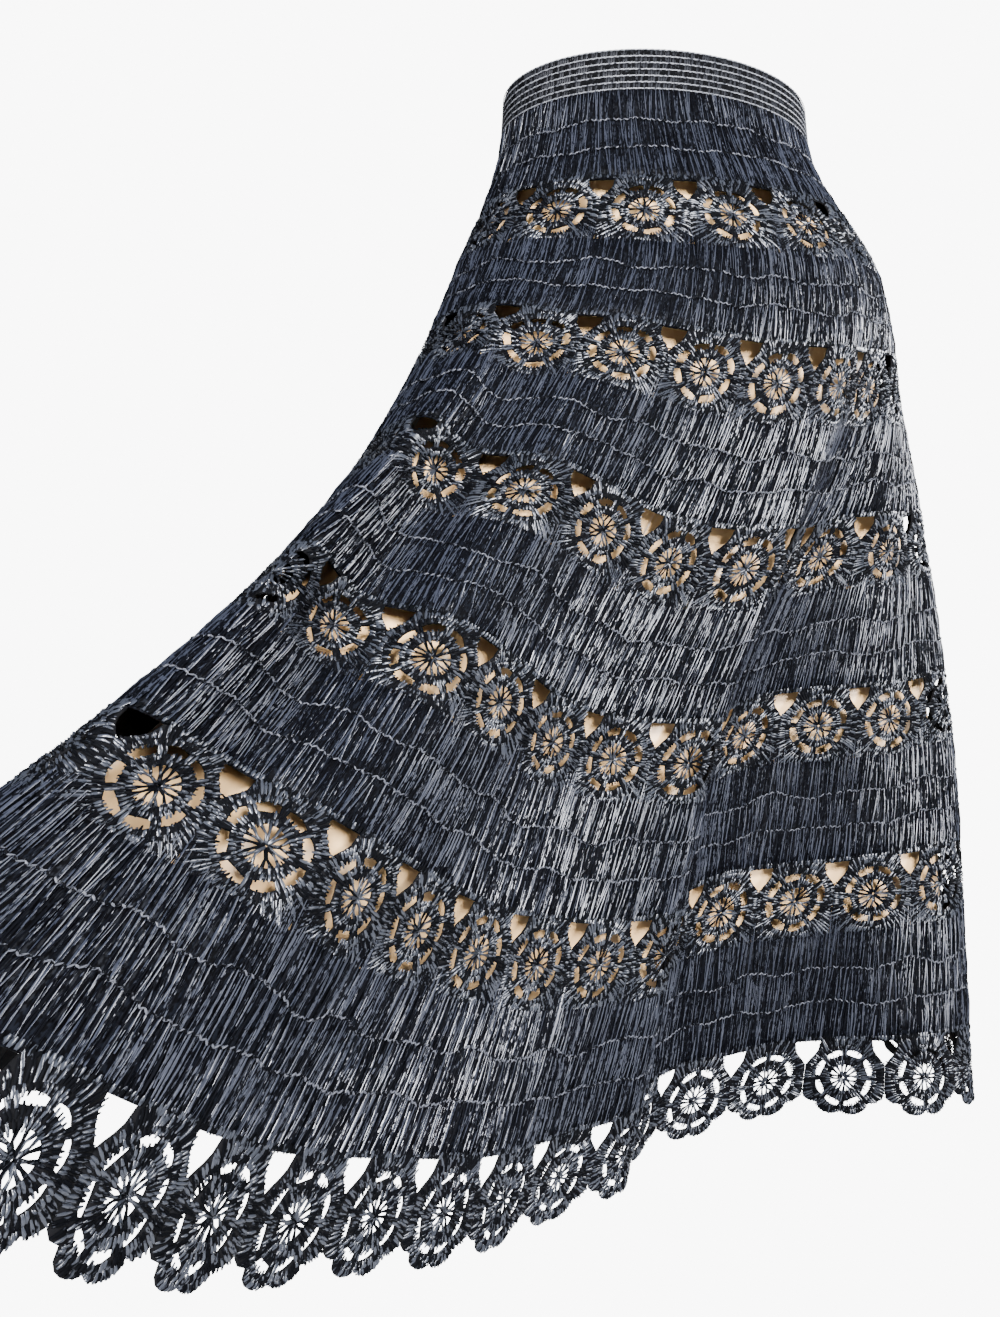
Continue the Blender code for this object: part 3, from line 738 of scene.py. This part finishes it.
unit_angle, unit_ring, unit_faces = medallion_unit()
bar_points, bar_faces = bar_unit()
for number, (_, medallions, shift) in enumerate(TIERS, start=1):
    hem = number == len(TIERS)
    top = SEAMS[2 * number]
    way = Round(top + LACE_HEIGHT / 2)
    pitch = way.length / medallions
    centres = (np.arange(medallions) + 0.5 + shift) * pitch
    turns = chance.uniform(-0.12, 0.12, medallions)
    squash = chance.normal(1.0, 0.02, medallions)

    def flat(centre, radius, angle):
        """Distance across and drop of a place on a medallion."""
        return centre + radius * np.cos(angle), top + CENTRE_DOWN - radius * np.sin(angle)

    edge = outer_radius(unit_angle, pitch, hem)
    radii = HEM_RING_RADII if hem else RING_RADII
    within_edge = unit_ring < len(RING_RADII)
    points, faces = [], []
    for index, centre in enumerate(centres):
        # Each medallion is turned and out of round in its own way, and only its edge keeps its place.
        spin = np.where(within_edge, turns[index], 0.0)
        wobble = 1 + WOBBLE * np.sin(3 * unit_angle + 70 * turns[index]) * within_edge
        petal = np.abs(np.sin(OPENINGS / 2 * (unit_angle - np.pi / SECTORS)))
        bow = PETAL_ROUNDING * (1 - petal) * ((unit_ring == 2) - 1.0 * (unit_ring == 3))
        ring_radius = np.array([*radii, 0.0])[unit_ring] * squash[index] + bow
        radius = np.where(within_edge, ring_radius * wobble, edge)
        across, down = flat(centre, radius, unit_angle + spin)
        points.append(np.stack([across, down], 1))
        faces.append(unit_faces + index * len(unit_angle))
    points, faces = np.concatenate(points), np.concatenate(faces)
    # The medallions' ground carries the same near-black painted shade, which shows between the stitches.
    base = piece(
        f"lace_{number}_medallions", cloth(way.share(points[:, 0]), points[:, 1], LACE_OUT), faces,
        ground_painted_shade_finish, np.zeros(len(points)), points * 1000,
    )
    thicken(base, LACE_THICKNESS)
    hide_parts(f"lace_{number}_front", f"lace_{number}_back")

    starts, ends, widths = [], [], []
    inner, ring_2, ring_3, ring_4, ring_5 = radii
    rounds = zip(SHELLS, (inner, ring_2, ring_4, ring_5), (ring_2, ring_3, ring_5, None))
    for count, first, last in rounds:
        for index, centre in enumerate(centres):
            angle = 2 * np.pi * (np.arange(count) + 0.5) / count + turns[index] * 3
            slant = chance.normal(0.02, 0.02, count)
            far = outer_radius(angle, pitch, hem) if last is None else np.full(count, last) * squash[index]
            near = first * squash[index]
            long = far + 0.0004 > near
            beside_opening = [[first in (inner, ring_4)], [last == ring_3]]
            stray_near, stray_far = chance.uniform(0, SHELL_STRAY, (2, count)) * beside_opening
            starts.append(np.stack(flat(centre, near - SHELL_OVERLAP - stray_near, angle), 1)[long])
            ends.append(np.stack(flat(centre, far + SHELL_OVERLAP + stray_far, angle + slant), 1)[long])
            fill = SHELL_FILL if last else LAST_SHELL_FILL
            widths.append(np.full(long.sum(), 2 * np.pi * near / count * fill))
    for index, centre in enumerate(centres):
        sector = np.repeat(np.arange(OPENINGS), 2) * OPENING_SECTORS + np.tile(TIE_SIDES, OPENINGS)
        angle = 2 * np.pi * sector / SECTORS + turns[index]
        starts.append(np.stack(flat(centre, ring_3 - TIE_OVERLAP, angle), 1))
        ends.append(np.stack(flat(centre, ring_4 + TIE_OVERLAP, angle), 1))
        widths.append(np.full(2 * OPENINGS, TIE_WIDTH))
    starts, ends, widths = np.concatenate(starts), np.concatenate(ends), np.concatenate(widths)
    count = len(starts)
    out = chance.uniform(0.0005, 0.0011, count)
    tone = chance.random(count)
    bulge = chance.uniform(0.0001, 0.0006, count)
    roll = chance.normal(0, 0.0001, count)
    stitches = laid_stitches(
        f"lace_{number}_shell_stitches", way, starts, ends, crochet_finish, tone,
        width=widths, rise=0.0010, out=out, bulge=bulge, roll=roll,
    )

    points, faces, tones = [], [], []
    for index, centre in enumerate(centres):
        for spoke in range(2 * SPOKE_PAIRS):
            side, height, along = bar_points.T
            parting = (SPOKE_PARTING + chance.normal(0, SPOKE_STRAY)) * (-1) ** spoke * along
            angle = 2 * np.pi * (spoke // 2) / SPOKE_PAIRS + turns[index] * 4 + parting
            bend = chance.normal(0, SPOKE_BEND)
            radius = SPOKE_START + along * (inner - SPOKE_SHORT)
            half = SPOKE_HALF * (1 + SPOKE_THINNING * np.cos(2 * np.pi * along))
            across, down = flat(centre, radius, angle + bend * along * (1 - along))
            across = across - side * half * np.sin(angle)
            down = down - side * half * np.cos(angle)
            points.append(np.stack([across, down, height * half + 0.0002], 1))
            faces.append(bar_faces + len(faces) * len(bar_points))
            tones.append(np.full(len(bar_points), chance.random()))
    points, faces, tones = np.concatenate(points), np.concatenate(faces), np.concatenate(tones)
    spokes = piece(
        f"lace_{number}_spokes", cloth(way.share(points[:, 0]), points[:, 1], points[:, 2]), faces,
        crochet_finish, tones, points[:, :2] * 1000,
    )

# ---- Lining
# Nine gores of tan satin, seamed to each other and into the waistband. They hang free inside the cloth in
# soft upright folds and end above the hem lace.

# Columns: the drop of each ring of the lining, and how far it lies inside the cloth.
LINING_RINGS = [
    (0.020, 0.0046),
    (0.060, 0.0075),
    (0.110, 0.0115),
    (0.175, 0.0135),
    (0.270, 0.0135),
    (0.400, 0.0130),
    (0.560, 0.0130),
    (0.762, 0.0120),
]
# Columns: the shares where each gore starts and ends. The sixth runs straight across the corner that is
# drawn out.
GORES = [
    (0.950, 1.012),
    (1.012, 1.074),
    (1.074, 1.137),
    (1.137, 1.243),
    (1.243, 1.350),
    (1.350, 1.540),
    (1.540, 1.700),
    (1.700, 1.825),
    (1.825, 1.950),
]
LINING_CORNER = (1.350, 1.435)
# The ripples of the satin: the drop where they start, how far below it they are full, how deep they are,
# and how many of each of two kinds go round.
RIPPLES_START = 0.04
RIPPLES_GROW = 0.25
RIPPLE_DEPTH = 0.0032
RIPPLES = (31, 47)
SATIN_THICKNESS = 0.0005
GORE_COLUMNS = 28
LINING_ROWS = 36
satin_finish, satin, feed_satin = finish_for(
    "tan satin", Roughness=0.38, Specular_IOR_Level=0.5, Sheen_Weight=0.25, Sheen_Roughness=0.4
)
satin_place = satin.node("ShaderNodeTexCoord", output="Object")
satin_cloud = satin.noise(satin_place, 14.0, 3.0, (1, 1, 0.3))
feed_satin("Base Color", satin.blend(satin_cloud, (0.60, 0.36, 0.155), (0.74, 0.48, 0.225)))
satin_grain = satin.noise(satin_place, 900.0, 2.0, (1, 1, 0.4))
satin_bump = {"Strength": 0.2, "Distance": 0.0003, "Height": satin_grain}
feed_satin("Normal", satin.node("ShaderNodeBump", {}, satin_bump))
rings = np.array(LINING_RINGS)
lining_height = rings[-1, 0] - rings[0, 0]
lining_way = Round((rings[0, 0] + rings[-1, 0]) / 2)


def inside_cloth(share, drop):
    """Points of the lining, which runs straight across the corner that is drawn out."""
    deep = np.clip((drop - RIPPLES_START) / RIPPLES_GROW, 0, 1)
    broad, fine = (2 * np.pi * ripples * share for ripples in RIPPLES)
    waves = 0.6 * np.sin(broad) + 0.4 * np.sin(fine + 3 * drop)
    out = -np.interp(drop, rings[:, 0], rings[:, 1]) - RIPPLE_DEPTH * deep * (1 + waves)
    part = ((share - LINING_CORNER[0]) / (LINING_CORNER[1] - LINING_CORNER[0]))[:, None]
    before = cloth(LINING_CORNER[0], drop, out)
    after = cloth(LINING_CORNER[1], drop, out)
    straight = before + part * (after - before)
    return np.where((part > 0) & (part < 1), straight, cloth(share, drop, out))


for gore, (gore_start, gore_end) in enumerate(GORES, start=1):
    unit, faces = grid_unit(GORE_COLUMNS, LINING_ROWS)
    gore_share = gore_start + (unit[:, 0] + 1) / 2 * (gore_end - gore_start)
    points = inside_cloth(gore_share, rings[0, 0] + unit[:, 1] * lining_height)
    satin_gore = piece(f"lining_satin_{gore}", points, faces, satin_finish)
    thicken(satin_gore, SATIN_THICKNESS)
    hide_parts(f"lining_gore_{gore}")
    width = lining_way.distance(gore_end) - lining_way.distance(gore_start)

# ---- Stage
# A plain pale floor that curves up behind, under an even white sky. Five soft studio lights stand round
# it, and the camera looks at the front from level with the cloth.

FLOOR_LEVEL = -1.20
FLOOR_REACH = 3.2
SWEEP_RADIUS = 1.4
SWEEP_HEIGHT = 3.4
FLOOR_HALF_WIDTH = 6
# How bright the floor and the sky are to the camera, and how much light the sky gives.
FLOOR_SEEN = 9.0
SKY_SEEN = 8.9
SKY_LIGHT = 0.05
floor_finish, floor, _ = finish_for("pale floor", Roughness=0.9, Base_Color=(0.3, 0.3, 0.3, 1.0))
bright = floor.node("ShaderNodeEmission", {}, {"Color": (1.0, 1.0, 1.0, 1.0), "Strength": FLOOR_SEEN})
plain = Wire(floor.tree, floor.tree.nodes["Principled BSDF"].outputs["BSDF"])
seen = floor.node("ShaderNodeLightPath", output="Is Camera Ray")
both = floor.node("ShaderNodeMixShader", {}, {0: seen, 1: plain, 2: bright})
floor.tree.links.new(both.socket, floor.tree.nodes["Material Output"].inputs["Surface"])
unit, faces = grid_unit(1, 40)
straight, curve = FLOOR_REACH * 2 - SWEEP_RADIUS, SWEEP_RADIUS * np.pi / 2
far = unit[:, 1] * (straight + curve + SWEEP_HEIGHT - SWEEP_RADIUS)
bend = np.clip((far - straight) / SWEEP_RADIUS, 0, np.pi / 2)
floor_y = -FLOOR_REACH + np.minimum(far, straight) + SWEEP_RADIUS * np.sin(bend)
floor_z = FLOOR_LEVEL + SWEEP_RADIUS * (1 - np.cos(bend)) + np.clip(far - straight - curve, 0, None)
points = np.stack([unit[:, 0] * FLOOR_HALF_WIDTH, floor_y, floor_z], axis=1)
floor_mesh = bpy.data.meshes.new("floor")
floor_mesh.from_pydata(points.tolist(), [], faces.tolist())
floor_mesh.shade_smooth()
floor_mesh.materials.append(floor_finish)
floor_object = bpy.data.objects.new("floor", floor_mesh)
bpy.context.scene.collection.objects.link(floor_object)

world = bpy.data.worlds.new("studio")
bpy.context.scene.world = world
world.use_nodes = True
backdrop = world.node_tree.nodes["Background"]
sky = Wire(world.node_tree)
seen = sky.node("ShaderNodeLightPath", output="Is Camera Ray")
backdrop.inputs["Color"].default_value = (1.0, 1.0, 1.0, 1.0)
world.node_tree.links.new((seen * SKY_SEEN + SKY_LIGHT).socket, backdrop.inputs["Strength"])

LIT_POINT = (0, 0, -0.4)
COOL_WHITE = (0.94, 0.95, 1.0)


def area_light(name, place, size, power, colour=COOL_WHITE):
    """A soft light at a place, turned to the middle of the cloth."""
    lamp = bpy.data.lights.new(name, "AREA")
    lamp.shape = "RECTANGLE"
    lamp.size, lamp.size_y = size
    lamp.energy = power
    lamp.color = colour
    holder = bpy.data.objects.new(name, lamp)
    bpy.context.scene.collection.objects.link(holder)
    direction = np.array(LIT_POINT) - np.array(place)
    yaw = np.arctan2(direction[0], direction[1])
    pitch = np.arctan2(direction[2], np.hypot(direction[0], direction[1]))
    holder.rotation_euler = (np.pi / 2 + pitch, 0, -yaw)
    holder.location = place


area_light("front", (0.0, -2.4, 0.8), size=(0.7, 0.6), power=390)
area_light("side", (2.55, 0.0, 0.5), size=(0.7, 0.6), power=170)
area_light("low", (0.9, -2.55, 0.1), size=(0.6, 0.5), power=175)
area_light("left", (-2.2, -1.4, 0.9), size=(0.6, 0.6), power=50)
area_light("back", (0.5, 2.4, 1.4), size=(1.4, 1.0), power=130, colour=(1.0, 1.0, 1.0))

# The frame is 1000 pixels wide, and the lens has a focal length of 985 of them.
FRAME_WIDTH = 1000
FOCAL_LENGTH = 985
camera_data = bpy.data.cameras.new("camera")
camera_data.sensor_fit = "HORIZONTAL"
camera_data.sensor_width = 36.0
camera_data.lens = 36.0 * FOCAL_LENGTH / FRAME_WIDTH
camera_data.clip_start = 0.01
camera = bpy.data.objects.new("camera", camera_data)
bpy.context.scene.collection.objects.link(camera)
camera.location = (-0.126, -0.798, -0.4255)
camera.rotation_euler = (np.pi / 2, 0, 0)
bpy.context.scene.camera = camera
